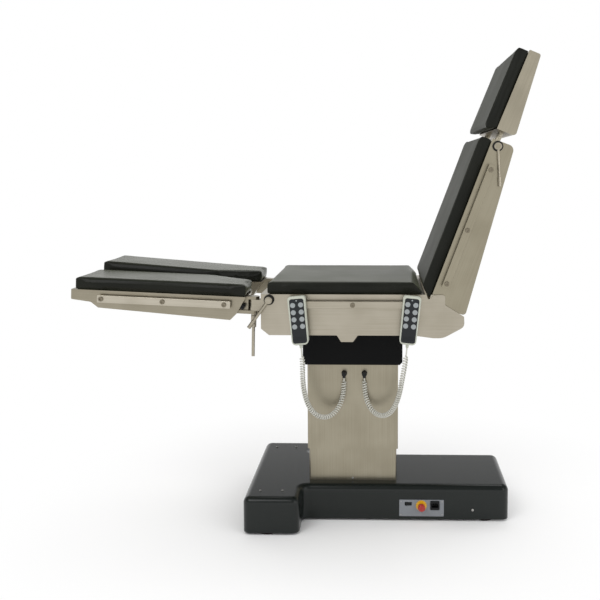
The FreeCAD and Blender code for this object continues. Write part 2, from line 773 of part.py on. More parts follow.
def leg_rail(side):
    z = leg_axis_z + leg_deck - leg_rail_drop
    shape = rail(leg_axis_x - leg_rail_ends[1], leg_axis_x - leg_rail_ends[0], z,
                 section_half, leg_rail_standoff,
                 [leg_axis_x - d for d in leg_rail_posts])
    return leg_place(shape, side)


def leg_knuckle(side):
    """Swings on the shaft along Y and carries the upright pin."""
    x, z = leg_axis_x, leg_axis_z
    px, py = x - spread_d, -spread_y
    hub = rod(14, (x, py - 28, z), (x, py + 28, z))
    low, high = z - 44, z - 6
    arm = [(px - 18, py - 18, 17), (px - 18, py + 18, 17), (x - 6, py + 18, 0),
           (x - 6, py - 18, 0)]
    block = slab(arm, "xy", low, high)
    cheek = slab([(x - 2, z - 13, 0), (x - 30, low, 0), (x - 34, low, 0), (x - 34, high, 0),
                  (x - 2, z + 13, 0)], "xz", py - 18, py + 18)
    pin = rod(spread_pin_r, (px, py, z - 62), (px, py, z + leg_deck))
    tail = rod(7, (px, py, z - 96), (px, py, z - 61))
    shape = fused([hub, block, cheek, pin, tail])
    shape = shape.cut(rod(shaft_r + fit_play, (x, py - 30, z), (x, py + 30, z)))
    return leg_place(shape, side)


def leg_spread_lever(side):
    """Hangs on the tail of the upright pin: a dark collar and a leaning rod."""
    px, py = leg_axis_x - spread_d, -spread_y
    z = leg_axis_z
    collar = rod(9.5, (px, py, z - 104), (px, py, z - 62.6))
    collar = bevelled(collar, 1.2, lambda e: e.BoundBox.ZLength < 0.01)
    tip = (px + 4, py - 12, z - 203)
    stick = rod(5.5, (px, py, z - 98), tip)
    shape = fused([collar, stick])
    return leg_place(shape.cut(rod(7 + fit_play, (px, py, z - 97), (px, py, z - 60))), side)


def knob_seat():
    """Middle of the lock knob on the leg's sloping end wall, the way down the wall and out."""
    top = V(leg_axis_x - leg_start, -section_half + knob_inset, leg_axis_z + leg_deck)
    down = V(-heel_x, 0, -heel_z).normalize()
    return top + down * knob_down, down, V(-down.z, 0, down.x)


def leg_knob(side):
    """Star knob of the leg's lock."""
    seat, down, out = knob_seat()
    start, across = seat + out * lever_gap, V(0, 1, 0)
    hub = rod(knob_r - 2.5, start, start + out * knob_deep)
    lobes = []
    for n in range(6):
        a = math.radians(60 * n)
        foot = start + (down * math.cos(a) + across * math.sin(a)) * (knob_r - 2.5)
        lobes.append(rod(2.8, foot, foot + out * knob_deep))
    stud = rod(3, seat - out * 12, start + out)
    return leg_place(fused([hub, stud] + lobes), side)


# Power panel

def power_panel():
    y0, y1 = panel_face(panel_thick), panel_face(0)
    plate = slab(rectangle(panel_x0, panel_x1, panel_z0, panel_z1, 3), "xz", y0, y1)
    switch = box(switch_x - switch_r - 0.5, switch_x + switch_r + 0.5, y0 - 1, y1 + 1,
                 switch_z - switch_half - 0.5, switch_z + switch_half + 0.5)
    stop = rod(6 + 0.3, (stop_x, y0 - 1, stop_z), (stop_x, y1 + 20, stop_z))
    inlet = box(inlet_x - inlet_half + 2, inlet_x + inlet_half - 2, y0 - 1, y1 + 1,
                inlet_z - inlet_half + 2, inlet_z + inlet_half - 2)
    lugs = [box(switch_x - 5, switch_x + 5, y1 - 0.5, y1 + 8, z, z + 3)
            for z in (switch_z - switch_half - 3.5, switch_z + switch_half + 0.5)]
    sleeve = rod(9, (stop_x, y1 - 0.5, stop_z), (stop_x, y1 + 14, stop_z))
    pin = rod(1.5 + fit_play, (switch_x, y1 + 4, switch_z - 12), (switch_x, y1 + 4, switch_z + 12))
    return fused([plate, sleeve] + lugs).cut([switch, stop, inlet, pin])


def power_switch():
    y, z = panel_face(0) + 4, switch_z
    disc = rod(switch_r, (switch_x, y, z - switch_half), (switch_x, y, z + switch_half))
    dip = [(switch_x, y - 6.5, 0), (switch_x + 20, y - 10, 0), (switch_x + 20, y - 20, 0),
           (switch_x - 20, y - 20, 0), (switch_x - 20, y - 10, 0)]
    face = slab(dip, "xy", z - switch_half - 1, z + switch_half + 1)
    back = box(switch_x - 20, switch_x + 20, y + 5, y + 20, z - 10, z + 10)
    pin = rod(1.5, (switch_x, y, z - switch_half - 3), (switch_x, y, z + switch_half + 3))
    shape = fused([disc.cut([face, back]), pin])
    shape.rotate(V(switch_x, y, z), V(0, 0, 1), switch_lean)
    return shape


def stop_collar():
    y = panel_face(panel_thick)
    ring = Part.makeCone(17.5, 19.5, 5, V(stop_x, y - 5, stop_z), V(0, 1, 0))
    return ring.cut(rod(6.3, (stop_x, y - 6, stop_z), (stop_x, y + 1, stop_z)))


def stop_button():
    y = panel_face(panel_thick)
    stem = rod(6, (stop_x, y - 14, stop_z), (stop_x, y + 14, stop_z))
    head = rod(13, (stop_x, y - 26, stop_z), (stop_x, y - 13, stop_z))
    head = bevelled(head, 3, lambda e: abs(e.BoundBox.YMin - (y - 26)) < 0.01
                    and e.BoundBox.YLength < 0.01)
    return fused([stem, head])


def mains_inlet():
    y = panel_face(panel_thick)
    h = inlet_half
    flange = slab(rectangle(inlet_x - h, inlet_x + h, inlet_z - h, inlet_z + h, 3), "xz",
                  y - 2.5, y)
    body = box(inlet_x - h + 2.3, inlet_x + h - 2.3, y - 1, y + 24,
               inlet_z - h + 2.3, inlet_z + h - 2.3)
    mouth = [(inlet_x - 12, inlet_z - 8.5, 2), (inlet_x + 12, inlet_z - 8.5, 2),
             (inlet_x + 12, inlet_z + 3, 1), (inlet_x + 6, inlet_z + 8.5, 1),
             (inlet_x - 6, inlet_z + 8.5, 1), (inlet_x - 12, inlet_z + 3, 1)]
    recess = slab(mouth, "xz", y - 3, y + 17.5)
    blades = [box(inlet_x + dx - 1, inlet_x + dx + 1, y + 3.5, y + 19,
                  inlet_z + dz - 2, inlet_z + dz + 2)
              for dx, dz in ((-7, -2), (0, 2), (7, -2))]
    return fused([flange, body]).cut(recess).fuse(blades).removeSplitter()


def main():
    os.makedirs("parts", exist_ok=True)
    save("base_cover", base_cover())
    save("base_chassis", base_chassis())
    save("floor_feet", floor_feet())
    save("lower_column_cover", lower_column_cover())
    save("upper_column_cover", upper_column_cover())
    save("lift_ram", lift_ram())
    save("lift_head", lift_head())
    save("column_shroud", column_shroud())
    save("cord_glands", cord_glands())
    save("tilt_yoke", tilt_yoke())
    save("seat_frame", seat_frame())
    save("seat_cushion", seat_cushion())
    save("seat_rails", seat_rails())
    save("seat_hinge_shafts", seat_hinge_shafts())
    save("back_frame", back_frame())
    save("back_cushion", back_cushion())
    save("back_rails", back_rails())
    save("head_frame", head_frame())
    save("head_cushion", head_cushion())
    save("power_panel", power_panel())
    save("power_switch", power_switch())
    save("stop_collar", stop_collar())
    save("stop_button", stop_button())
    save("mains_inlet", mains_inlet())
    for side, name in ((-1, "left"), (1, "right")):
        for label, make in (("head_lever", head_lever), ("leg_clamp_lever", leg_clamp_lever)):
            shape = make()
            save(label + "_" + name, shape if side < 0 else mirrored(shape))
        save("leg_knuckle_" + name, leg_knuckle(side))
        save("leg_frame_" + name, leg_frame(side))
        save("leg_cushion_" + name, leg_cushion(side))
        save("leg_rail_" + name, leg_rail(side))
        save("leg_spread_lever_" + name, leg_spread_lever(side))
        save("leg_knob_" + name, leg_knob(side))
    for name, spot, route in (("front", set_left, front_route()),
                              ("rear", set_right, rear_route())):
        save("handset_" + name, handset(spot))
        save("handset_cord_" + name, cord_tube(route, name))
        for n, place in enumerate(key_places(), 1):
            save("handset_" + name + "_key_" + str(n), handset_key(place, spot))


main()
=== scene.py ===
import math

import bmesh
import bpy
from mathutils import Matrix, Vector


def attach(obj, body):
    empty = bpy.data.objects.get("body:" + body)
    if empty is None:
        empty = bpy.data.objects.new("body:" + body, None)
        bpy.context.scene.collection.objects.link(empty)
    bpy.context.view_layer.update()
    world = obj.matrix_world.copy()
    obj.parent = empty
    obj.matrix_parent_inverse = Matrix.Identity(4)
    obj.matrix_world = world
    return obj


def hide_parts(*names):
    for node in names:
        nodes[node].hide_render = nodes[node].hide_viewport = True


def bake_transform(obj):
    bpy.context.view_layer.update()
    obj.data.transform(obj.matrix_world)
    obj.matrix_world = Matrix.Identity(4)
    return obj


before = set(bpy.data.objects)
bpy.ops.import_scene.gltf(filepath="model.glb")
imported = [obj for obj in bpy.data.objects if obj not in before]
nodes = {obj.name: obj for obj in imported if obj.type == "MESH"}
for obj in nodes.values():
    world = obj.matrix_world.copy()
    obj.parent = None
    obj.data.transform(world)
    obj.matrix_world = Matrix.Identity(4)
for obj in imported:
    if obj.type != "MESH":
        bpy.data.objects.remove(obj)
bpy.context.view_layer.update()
mm = 0.001
even = (1, 1, 1)  # scale of a pattern that is stretched nowhere

# Where the sections hinge and how far each is raised, as in the CAD source
sections = {
    "seat": {"pivot": (0, 0, 0), "angle": 0},
    "back": {"pivot": (0.2826, 0, 0.8166), "angle": 69.4},
    "head": {"pivot": (0.48828, 0, 1.32686), "angle": 67.9},
    "legLeft": {"pivot": (-0.278, 0, 0.810), "angle": -2.54},
    "legRight": {"pivot": (-0.278, 0, 0.810), "angle": -4.6},
}


def sectionMatrix(name):
    # Level drawing to its raised place: what points to +X rises by the angle
    spot = Vector(sections[name]["pivot"])
    turn = Matrix.Rotation(-math.radians(sections[name]["angle"]), 4, "Y")
    return Matrix.Translation(spot) @ turn @ Matrix.Translation(-spot)


# Helpers for materials


def linearColour(hexText):
    # sRGB hex to linear RGBA
    channels = [int(hexText[i : i + 2], 16) / 255 for i in (1, 3, 5)]
    return [c / 12.92 if c <= 0.04045 else ((c + 0.055) / 1.055) ** 2.4 for c in channels] + [1]


def addNode(owner, kind, settings=None, links=None):
    # A node in a material or world, with its input values and links
    node = owner.node_tree.nodes.new(kind)
    for name, value in (settings or {}).items():
        if name == "operation":
            node.operation = value
        else:
            node.inputs[name].default_value = value
    for name, socket in (links or {}).items():
        owner.node_tree.links.new(socket, node.inputs[name])
    return node


def newMaterial(name, colour, roughness, metallic=0, gloss=0.5, coat=0):
    material = bpy.data.materials.new(name)
    material.use_nodes = True
    material.node_tree.nodes.clear()
    shader = addNode(material, "ShaderNodeBsdfPrincipled")
    shader.inputs["Base Color"].default_value = linearColour(colour)
    shader.inputs["Roughness"].default_value = roughness
    shader.inputs["Metallic"].default_value = metallic
    shader.inputs["Specular IOR Level"].default_value = gloss
    shader.inputs["Coat Weight"].default_value = coat
    addNode(material, "ShaderNodeOutputMaterial", links={"Surface": shader.outputs["BSDF"]})
    return material, shader


def patternCoordinates(material, scale, turn=0):
    # Object coordinates turned about Y with the section, then stretched
    place = addNode(material, "ShaderNodeTexCoord")
    turned = addNode(material, "ShaderNodeMapping", links={"Vector": place.outputs["Object"]})
    turned.inputs["Rotation"].default_value = (0, math.radians(turn), 0)
    stretched = addNode(material, "ShaderNodeMapping", links={"Vector": turned.outputs["Vector"]})
    stretched.inputs["Scale"].default_value = scale
    return stretched.outputs["Vector"]


def addGrain(material, shader, vector, scale, bump, depth, roughness, detail=3):
    # One noise drives the bump and a band of roughness
    noise = addNode(material, "ShaderNodeTexNoise", {"Scale": scale, "Detail": detail}, {"Vector": vector})
    relief = addNode(material, "ShaderNodeBump", {"Strength": bump, "Distance": depth},
                     {"Height": noise.outputs["Fac"]})
    material.node_tree.links.new(relief.outputs["Normal"], shader.inputs["Normal"])
    limits = {"From Min": 0.3, "From Max": 0.7, "To Min": roughness[0], "To Max": roughness[1]}
    band = addNode(material, "ShaderNodeMapRange", limits, {"Value": noise.outputs["Fac"]})
    material.node_tree.links.new(band.outputs["Result"], shader.inputs["Roughness"])
    return noise.outputs["Fac"]


def addShade(material, shader, factor, dark, light, low=0.35, high=0.65):
    # Colour that wanders between two shades of the same finish
    ramp = addNode(material, "ShaderNodeValToRGB", links={"Fac": factor})
    ramp.color_ramp.elements[0].position = low
    ramp.color_ramp.elements[0].color = linearColour(dark)
    ramp.color_ramp.elements[1].position = high
    ramp.color_ramp.elements[1].color = linearColour(light)
    material.node_tree.links.new(ramp.outputs["Color"], shader.inputs["Base Color"])


brushing = {"spacing": 0.9, "length": 220, "cloud": 130,
            "bump": 0.05, "depth": 0.00005, "roughness": (0.28, 0.36)}


def brushedStainless(name, dark, light, turn=0, upright=False):
    # Sheet stainless, brushed along the section: faint lines, and broad lighter and darker patches
    # painted into the colour as reflections. The lines are drawn coarser than real ones, to show.
    material, shader = newMaterial(name, light, brushing["roughness"][1], metallic=1)
    across, along = 1 / (brushing["spacing"] * mm), 1 / (brushing["length"] * mm)
    scale = (across, across, along) if upright else (along, across, across)
    lines = patternCoordinates(material, scale, turn)
    bump, depth, roughness = (brushing[key] for key in ("bump", "depth", "roughness"))
    brush = addGrain(material, shader, lines, 1, bump, depth, roughness, detail=2)
    # Painted reflection: broad patches, mixed half and half with the real brushing lines, shift the colour
    place = addNode(material, "ShaderNodeTexCoord")
    cloud = addNode(material, "ShaderNodeTexNoise", {"Scale": 1 / (brushing["cloud"] * mm), "Detail": 2},
                    {"Vector": place.outputs["Object"]})
    both = addNode(material, "ShaderNodeMath", {"operation": "ADD"}, {0: brush, 1: cloud.outputs["Fac"]})
    half = addNode(material, "ShaderNodeMath", {"operation": "MULTIPLY", 1: 0.5}, {0: both.outputs[0]})
    addShade(material, shader, half.outputs[0], dark, light, 0.4, 0.6)
    return material


# Grit in mm, drawn coarser than real to show, then strength and depth of the bump and the roughness band
grains = {
    "orangePeel": (1.5, 0.15, 0.0002, (0.5, 0.62)),
    "leather": (2.2, 0.1, 0.0003, (0.2, 0.28)),
    "sparkEroded": (1.2, 0.2, 0.0002, (0.5, 0.62)),
}


def addEvenGrain(material, shader, kind):
    grit, bump, depth, roughness = grains[kind]
    vector = patternCoordinates(material, even)
    return addGrain(material, shader, vector, 1 / (grit * mm), bump, depth, roughness)


def matPaintedSteel():
    # Welded steel under matt stove enamel: dark, with a faint orange peel
    material, shader = newMaterial("matPaintedSteel", "#232426", 0.55)
    addEvenGrain(material, shader, "orangePeel")
    return material


def graphiteAbs():
    # Vacuum-formed ABS base cover: dark green-grey, satin, with a fine leather grain
    material, shader = newMaterial("graphiteAbs", "#141917", 0.24, gloss=0.36)
    grain = addEvenGrain(material, shader, "leather")
    addShade(material, shader, grain, "#101513", "#161b19")
    return material


def blackAbs():
    # Moulded black ABS with a fine spark-eroded grain, which scatters the light
    material, shader = newMaterial("blackAbs", "#0d0d0e", 0.55, gloss=0.1)
    grain = addEvenGrain(material, shader, "sparkEroded")
    addShade(material, shader, grain, "#0b0b0c", "#0f1010")
    return material


fabric = {"pebble": 2.4, "wander": 160, "bump": 0.12, "depth": 0.0002,
          "sheenRoughness": 0.5, "sheenTint": "#d6dcb8"}


def coatedFabric(name, roughness, sheen):
    # Polyurethane-coated knit over foam: near black, with a faint pebble and a soft sheen whose greenish
    # tint is a painted reflection tint.
    # Roughness and sheen are set per section so that some tops read brighter and others darker: painted
    # light
    material, shader = newMaterial(name, "#1a1b18", roughness, gloss=0.1)
    shader.inputs["Sheen Weight"].default_value = sheen
    shader.inputs["Sheen Roughness"].default_value = fabric["sheenRoughness"]
    shader.inputs["Sheen Tint"].default_value = linearColour(fabric["sheenTint"])
    vector = patternCoordinates(material, even)
    pebble = addNode(material, "ShaderNodeTexVoronoi", {"Scale": 1 / (fabric["pebble"] * mm)},
                     {"Vector": vector})
    wander = addNode(material, "ShaderNodeTexNoise", {"Scale": 1 / (fabric["wander"] * mm), "Detail": 2},
                     {"Vector": vector})
    relief = addNode(material, "ShaderNodeBump", {"Strength": fabric["bump"], "Distance": fabric["depth"]},
                     {"Height": pebble.outputs["Distance"]})
    material.node_tree.links.new(relief.outputs["Normal"], shader.inputs["Normal"])
    limits = {"From Min": 0.35, "From Max": 0.65, "To Min": roughness - 0.02, "To Max": roughness + 0.03}
    band = addNode(material, "ShaderNodeMapRange", limits, {"Value": wander.outputs["Fac"]})
    material.node_tree.links.new(band.outputs["Result"], shader.inputs["Roughness"])
    addShade(material, shader, wander.outputs["Fac"], "#171815", "#1c1d19")
    return material


def mouldedPlastic(name, dark, light, roughness, grit=1.4, gloss=0.5, coat=0):
    # Injection-moulded housing plastic: even colour, fine grain
    material, shader = newMaterial(name, light, roughness, gloss=gloss, coat=coat)
    vector = patternCoordinates(material, even)
    band = (roughness - 0.04, roughness + 0.06)
    grain = addGrain(material, shader, vector, 1 / (grit * mm), 0.08, 0.0001, band)
    addShade(material, shader, grain, dark, light)
    return material


def platedSteel(name, colour, roughness):
    # Turned steel, plain or plated: smooth to mirror-like, with faint turning marks
    material, shader = newMaterial(name, colour, roughness, metallic=1)
    vector = patternCoordinates(material, even)
    addGrain(material, shader, vector, 1 / (3 * mm), 0.03, 0.0001, (roughness * 0.8, roughness * 1.4))
    return material


# Painted light: each section's copy of the same stainless, the column's too, has its own pair of shades,
# lighter or darker as light falls on that section; the rails' lighter pair is a painted highlight
steelSeat = brushedStainless("brushedStainlessSeat", "#a7a090", "#b5ae9f")
steelBack = brushedStainless("brushedStainlessBack", "#958e7b", "#a29b88", sections["back"]["angle"])
steelHead = brushedStainless("brushedStainlessHead", "#9c9584", "#aba492", sections["head"]["angle"])
steelLegs = brushedStainless("brushedStainlessLegs", "#958e7d", "#a39c8b", sections["legLeft"]["angle"])
steelRailsHighlight = brushedStainless("stainlessRailPaintedHighlight", "#b3ac9c", "#c4bdae", sections["legLeft"]["angle"])
steelColumn = brushedStainless("brushedStainlessColumn", "#968f7d", "#a49d8b", upright=True)
paintedSteel = matPaintedSteel()
baseAbs = graphiteAbs()
shroudAbs = blackAbs()
# Painted light: seat and legs get a smoother, stronger sheen so their tops read lighter; back and head a
# rougher, dimmer one
seatVinylBrightSheen = coatedFabric("coatedFabricSeatBrightSheen", 0.33, 0.15)
legVinylBrightSheen = coatedFabric("coatedFabricLegsBrightSheen", 0.26, 0.15)
backVinylDullSheen = coatedFabric("coatedFabricBackDullSheen", 0.5, 0.06)
satinSteel = platedSteel("satinStainlessRod", "#a8a191", 0.3)
zinc = platedSteel("zincPlatedScrew", "#b9b8b4", 0.28)
boltSteel = platedSteel("plainSteelBolt", "#8b8373", 0.42)
handsetAbs = mouldedPlastic("handsetAbs", "#b3b6a9", "#babdb0", 0.42)
keyCap = mouldedPlastic("keyCapAbs", "#8b9091", "#969b9c", 0.28)
keyField = mouldedPlastic("keyFieldFilm", "#1c1f21", "#222527", 0.34, 0.8, gloss=0.25)
cordPu = mouldedPlastic("polyurethaneCord", "#bdbcb2", "#c6c5bd", 0.45, 1.0)
panelPaint = mouldedPlastic("greyPowderCoat", "#777a7f", "#808388", 0.5, 1.2)
ringYellow = mouldedPlastic("yellowGlossAbs", "#d49c17", "#e0a91f", 0.25, 2.0, coat=0.3)
buttonRed = mouldedPlastic("redGlossAbs", "#96150f", "#a41b14", 0.22, 2.0, coat=0.4)
footRubber = mouldedPlastic("mouldedRubberFoot", "#1d1110", "#261614", 0.75, 1.0, gloss=0.2)
socketBlack = mouldedPlastic("blackNylon", "#0e0f10", "#141517", 0.45, 0.9, gloss=0.25)
print("materials ready")

# Edges steeper than this many degrees stay sharp in the shading
sharpFrom = {"node": 32, "piece": 35}

# The CAD nodes that show as they are
finishes = {
    "base_chassis": paintedSteel, "lift_head": paintedSteel, "tilt_yoke": paintedSteel,
    "base_cover": baseAbs, "floor_feet": footRubber, "column_shroud": shroudAbs,
    "lower_column_cover": steelColumn, "upper_column_cover": steelColumn, "lift_ram": steelColumn,
    "seat_frame": steelSeat, "seat_rails": steelSeat, "seat_hinge_shafts": steelSeat,
    "back_frame": steelBack, "back_rails": steelBack, "head_frame": steelHead,
    "leg_frame_left": steelLegs, "leg_frame_right": steelLegs, "leg_rail_left": steelRailsHighlight,
    "leg_rail_right": steelRailsHighlight, "leg_knuckle_left": steelSeat, "leg_knuckle_right": steelSeat,
    "leg_knob_left": socketBlack, "leg_knob_right": socketBlack,
    "cord_glands": socketBlack, "handset_front": handsetAbs, "handset_rear": handsetAbs,
    "power_panel": panelPaint, "power_switch": socketBlack, "mains_inlet": socketBlack,
    "stop_collar": ringYellow, "stop_button": buttonRed,
}
for side in ("left", "right"):
    for lever in ("head_lever_", "leg_clamp_lever_", "leg_spread_lever_"):
        finishes[lever + side] = satinSteel
for name, node in nodes.items():
    if "_key_" in name:
        finishes[name] = keyCap
for name, material in finishes.items():
    mesh = nodes[name].data
    mesh.materials.clear()
    mesh.materials.append(material)
    mesh.set_sharp_from_angle(angle=math.radians(sharpFrom["node"]))


# Helpers for new pieces


def newPiece(name, shape, material, body):
    # A bmesh becomes a piece at the origin that rides on a body
    mesh = bpy.data.meshes.new(name)
    shape.to_mesh(mesh)
    shape.free()
    mesh.materials.append(material)
    for face in mesh.polygons:
        face.use_smooth = True
    mesh.set_sharp_from_angle(angle=math.radians(sharpFrom["piece"]))
    piece = bpy.data.objects.new(name, mesh)
    bpy.context.scene.collection.objects.link(piece)
    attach(piece, body)
    return piece


def axisMatrix(place, axis):
    # +Z of a turned shape goes along axis from place
    turn = Vector((0, 0, 1)).rotation_difference(Vector(axis)).to_matrix().to_4x4()
    return Matrix.Translation(Vector(place)) @ turn


def addTo(shape, part, matrix):
    # A part drawn in its own place joins the shape at the matrix
    bmesh.ops.transform(part, matrix=matrix, verts=part.verts)
    bmesh.ops.recalc_face_normals(part, faces=part.faces)
    mesh = bpy.data.meshes.new("part")
    part.to_mesh(mesh)
    part.free()
    shape.from_mesh(mesh)
    bpy.data.meshes.remove(mesh)


roundSteps = {"small": 20, "ring": 40}


def addTurned(shape, profile, matrix):
    # A profile of (radius, height) spun a full turn about Z, closed at both ends on the axis
    part = bmesh.new()
    points = [(0, profile[0][1]), *profile, (0, profile[-1][1])]
    verts = [part.verts.new((radius, 0, height)) for radius, height in points]
    edges = [part.edges.new(pair) for pair in zip(verts, verts[1:])]
    bmesh.ops.spin(part, geom=verts + edges, cent=(0, 0, 0), axis=(0, 0, 1), angle=2 * math.pi,
                   steps=roundSteps["small"], use_merge=True)
    bmesh.ops.remove_doubles(part, verts=part.verts, dist=1e-7)
    addTo(shape, part, matrix)


def addPlate(shape, size, corner, edge, matrix):
    # A plate of width, height and thickness with round corners: its back lies in the XZ plane,
    # its front at -Y
    width, height, thickness = size
    part = bmesh.new()
    bmesh.ops.create_grid(part, x_segments=1, y_segments=1, size=0.5)
    bmesh.ops.scale(part, vec=(width, height, 1), verts=part.verts)
    bmesh.ops.bevel(part, geom=part.verts, offset=corner, offset_type="OFFSET", segments=6, profile=0.5,
                    affect="VERTICES", material=-1)
    out = bmesh.ops.extrude_face_region(part, geom=part.faces)
    top = [item for item in out["geom"] if isinstance(item, bmesh.types.BMVert)]
    bmesh.ops.translate(part, vec=(0, 0, thickness), verts=top)
    rim = [item for item in out["geom"] if isinstance(item, bmesh.types.BMEdge)]
    bmesh.ops.bevel(part, geom=rim, offset=edge, offset_type="OFFSET", segments=2, profile=0.5,
                    affect="EDGES", material=-1)
    addTo(shape, part, matrix @ Matrix.Rotation(math.radians(90), 4, "X"))


# Camera of the photograph

view = {"place": (0.1105, -3.0248, 1.2472), "yaw": 0.0217, "pitch": 0.0843, "focalPixels": 825.7,
        "shift": (-0.11, -0.10), "sensor": 36, "imageWidth": 600}


def placeCamera():
    data = bpy.data.cameras.new("photoView")
    data.sensor_width = view["sensor"]
    data.lens = view["focalPixels"] * view["sensor"] / view["imageWidth"]
    data.shift_x, data.shift_y = view["shift"]
    data.clip_end = 50
    camera = bpy.data.objects.new("photoView", data)
    camera.location = view["place"]
    camera.rotation_euler = (math.pi / 2 - view["pitch"], 0, view["yaw"])
    bpy.context.scene.collection.objects.link(camera)
    bpy.context.scene.camera = camera


placeCamera()

# Curly cords: the route's points are those of the CAD source, in metres

# "widen" makes up for the spline, which runs inside its control points
curlyCord = {"wire": 5.0, "outer": 18.0, "pitch": 9.0, "pointsPerTurn": 12, "widen": 1 / 0.966,
             "leadHandset": 26, "leadColumn": 7, "fade": 10, "leadStep": 3,
             "lineSteps": 16, "wireSteps": 2, "wireRoundness": 5}
routes = {
    "front": [(-0.1658, -0.303, 0.6533), (-0.1613, -0.303, 0.6015), (-0.163, -0.294, 0.546),
              (-0.159, -0.278, 0.490), (-0.145, -0.257, 0.436), (-0.117, -0.234, 0.397),
              (-0.078, -0.205, 0.386), (-0.045, -0.174, 0.412), (-0.030, -0.144, 0.4597),
              (-0.030, -0.144, 0.5117)],
    "rear": [(0.1885, -0.303, 0.6557), (0.1832, -0.303, 0.6039), (0.173, -0.296, 0.547),
             (0.165, -0.280, 0.493), (0.150, -0.257, 0.441), (0.125, -0.232, 0.403),
             (0.090, -0.203, 0.393), (0.059, -0.172, 0.415), (0.042, -0.144, 0.4607),
             (0.042, -0.144, 0.5117)],
}


def nurbsPoints(points, resolution):
    # Points along the smooth line that a NURBS spline draws through its control points
    data = bpy.data.curves.new("route", "CURVE")
    data.dimensions = "3D"
    spline = data.splines.new("NURBS")
    spline.points.add(len(points) - 1)
    for spot, point in zip(spline.points, points):
        spot.co = (*point, 1)
    spline.order_u = 3
    spline.use_endpoint_u = True
    spline.resolution_u = resolution
    holder = bpy.data.objects.new("route", data)
    bpy.context.scene.collection.objects.link(holder)
    bpy.context.view_layer.update()
    line = bpy.data.meshes.new_from_object(holder.evaluated_get(bpy.context.evaluated_depsgraph_get()))
    found = [v.co.copy() for v in line.vertices]
    bpy.data.objects.remove(holder)
    return found


def helixAround(line):
    # Walks the line and winds the wire round it; the ends stay straight leads
    lengths = [0.0]
    for a, b in zip(line, line[1:]):
        lengths.append(lengths[-1] + (b - a).length)
    total = lengths[-1]
    radius = (curlyCord["outer"] - curlyCord["wire"]) / 2 * mm * curlyCord["widen"]
    step = curlyCord["pitch"] * mm / curlyCord["pointsPerTurn"]
    leadStart, leadEnd, fade = (curlyCord[k] * mm for k in ("leadHandset", "leadColumn", "fade"))
    tangent = (line[1] - line[0]).normalized()
    normal = tangent.orthogonal().normalized()
    points, along, i, turn = [], 0.0, 0, 0.0
    while along <= total:
        while i < len(line) - 2 and lengths[i + 1] < along:
            i += 1
        share = (along - lengths[i]) / max(lengths[i + 1] - lengths[i], 1e-9)
        centre = line[i].lerp(line[i + 1], share)
        newTangent = (line[i + 1] - line[i]).normalized()
        normal = tangent.rotation_difference(newTangent) @ normal
        tangent = newTangent
        grow = min(1, max(0, min(along - leadStart, total - along - leadEnd) / fade))
        grow = grow * grow * (3 - 2 * grow)
        side = normal * math.cos(turn) + tangent.cross(normal) * math.sin(turn)
        points.append(centre + side * radius * grow)
        if grow > 0:
            turn += 2 * math.pi / curlyCord["pointsPerTurn"]
            along += step
        else:
            along += step * curlyCord["leadStep"]
    points.append(line[-1].copy())
    return points


def tubeAlong(name, points, diameter):
    # A round wire whose centre follows the points, as a mesh
    data = bpy.data.curves.new(name, "CURVE")
    data.dimensions = "3D"
    data.bevel_depth = diameter / 2
    data.bevel_resolution = curlyCord["wireRoundness"]
    data.use_fill_caps = True
    spline = data.splines.new("NURBS")
    spline.points.add(len(points) - 1)
    for spot, point in zip(spline.points, points):
        spot.co = (*point, 1)
    spline.order_u = 3
    spline.use_endpoint_u = True
    spline.resolution_u = curlyCord["wireSteps"]
    holder = bpy.data.objects.new(name + "Line", data)
    bpy.context.scene.collection.objects.link(holder)
    bpy.context.view_layer.update()
    mesh = bpy.data.meshes.new_from_object(holder.evaluated_get(bpy.context.evaluated_depsgraph_get()))
    bpy.data.objects.remove(holder)
    mesh.name = name
    piece = bpy.data.objects.new(name, mesh)
    bpy.context.scene.collection.objects.link(piece)
    mesh.materials.clear()
    mesh.materials.append(cordPu)
    for face in mesh.polygons:
        face.use_smooth = True
    return piece


def makeCurlyCord(which):
    node = "handset_cord_" + which
    points = helixAround(nurbsPoints(routes[which], curlyCord["lineSteps"]))
    lowest = min(range(len(points)), key=lambda n: points[n].z)
    upper, lower = points[: lowest + 1], points[lowest:]
    wire = curlyCord["wire"] * mm
    # The cord is split at its lowest point into an upper and a lower half, each baked where it lies
    parts = (("Handset", upper, "seat", "tilt_yoke"), ("Column", lower[::-1], "lift", "tilt_yoke"))
    for label, run, endBody, middleBody in parts:
        piece = tubeAlong("curlyCord" + which.capitalize() + label, run, wire)
        if endBody == "seat":
            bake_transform(piece)
        else:
            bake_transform(piece)
        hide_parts(node)


for which in routes:
    makeCurlyCord(which)
print("curly cords ready")

# Cushions: foam pads in a coated fabric cover

# Lengths in mm: the pad starts smaller by the inset, and no point swells further than the cap
padLook = {"voxel": 4.5, "inset": 1.6, "cap": 3.2, "tuck": 3.0, "tuckRun": 40,
           "frames": 12, "pressure": 4.0, "quality": 4, "mass": 0.2, "stiffness": 20, "bending": 2}
pads = {
    "seat_cushion": ("seat", "seat", seatVinylBrightSheen), "back_cushion": ("back", "back", backVinylDullSheen),
    "head_cushion": ("head", "head", backVinylDullSheen), "leg_cushion_left": ("leg_left", "legLeft", legVinylBrightSheen),
    "leg_cushion_right": ("leg_right", "legRight", legVinylBrightSheen),
}


def softenShape(shape):
    bmesh.ops.smooth_vert(shape, verts=shape.verts, factor=0.5, use_axis_x=True, use_axis_y=True,
                          use_axis_z=True)


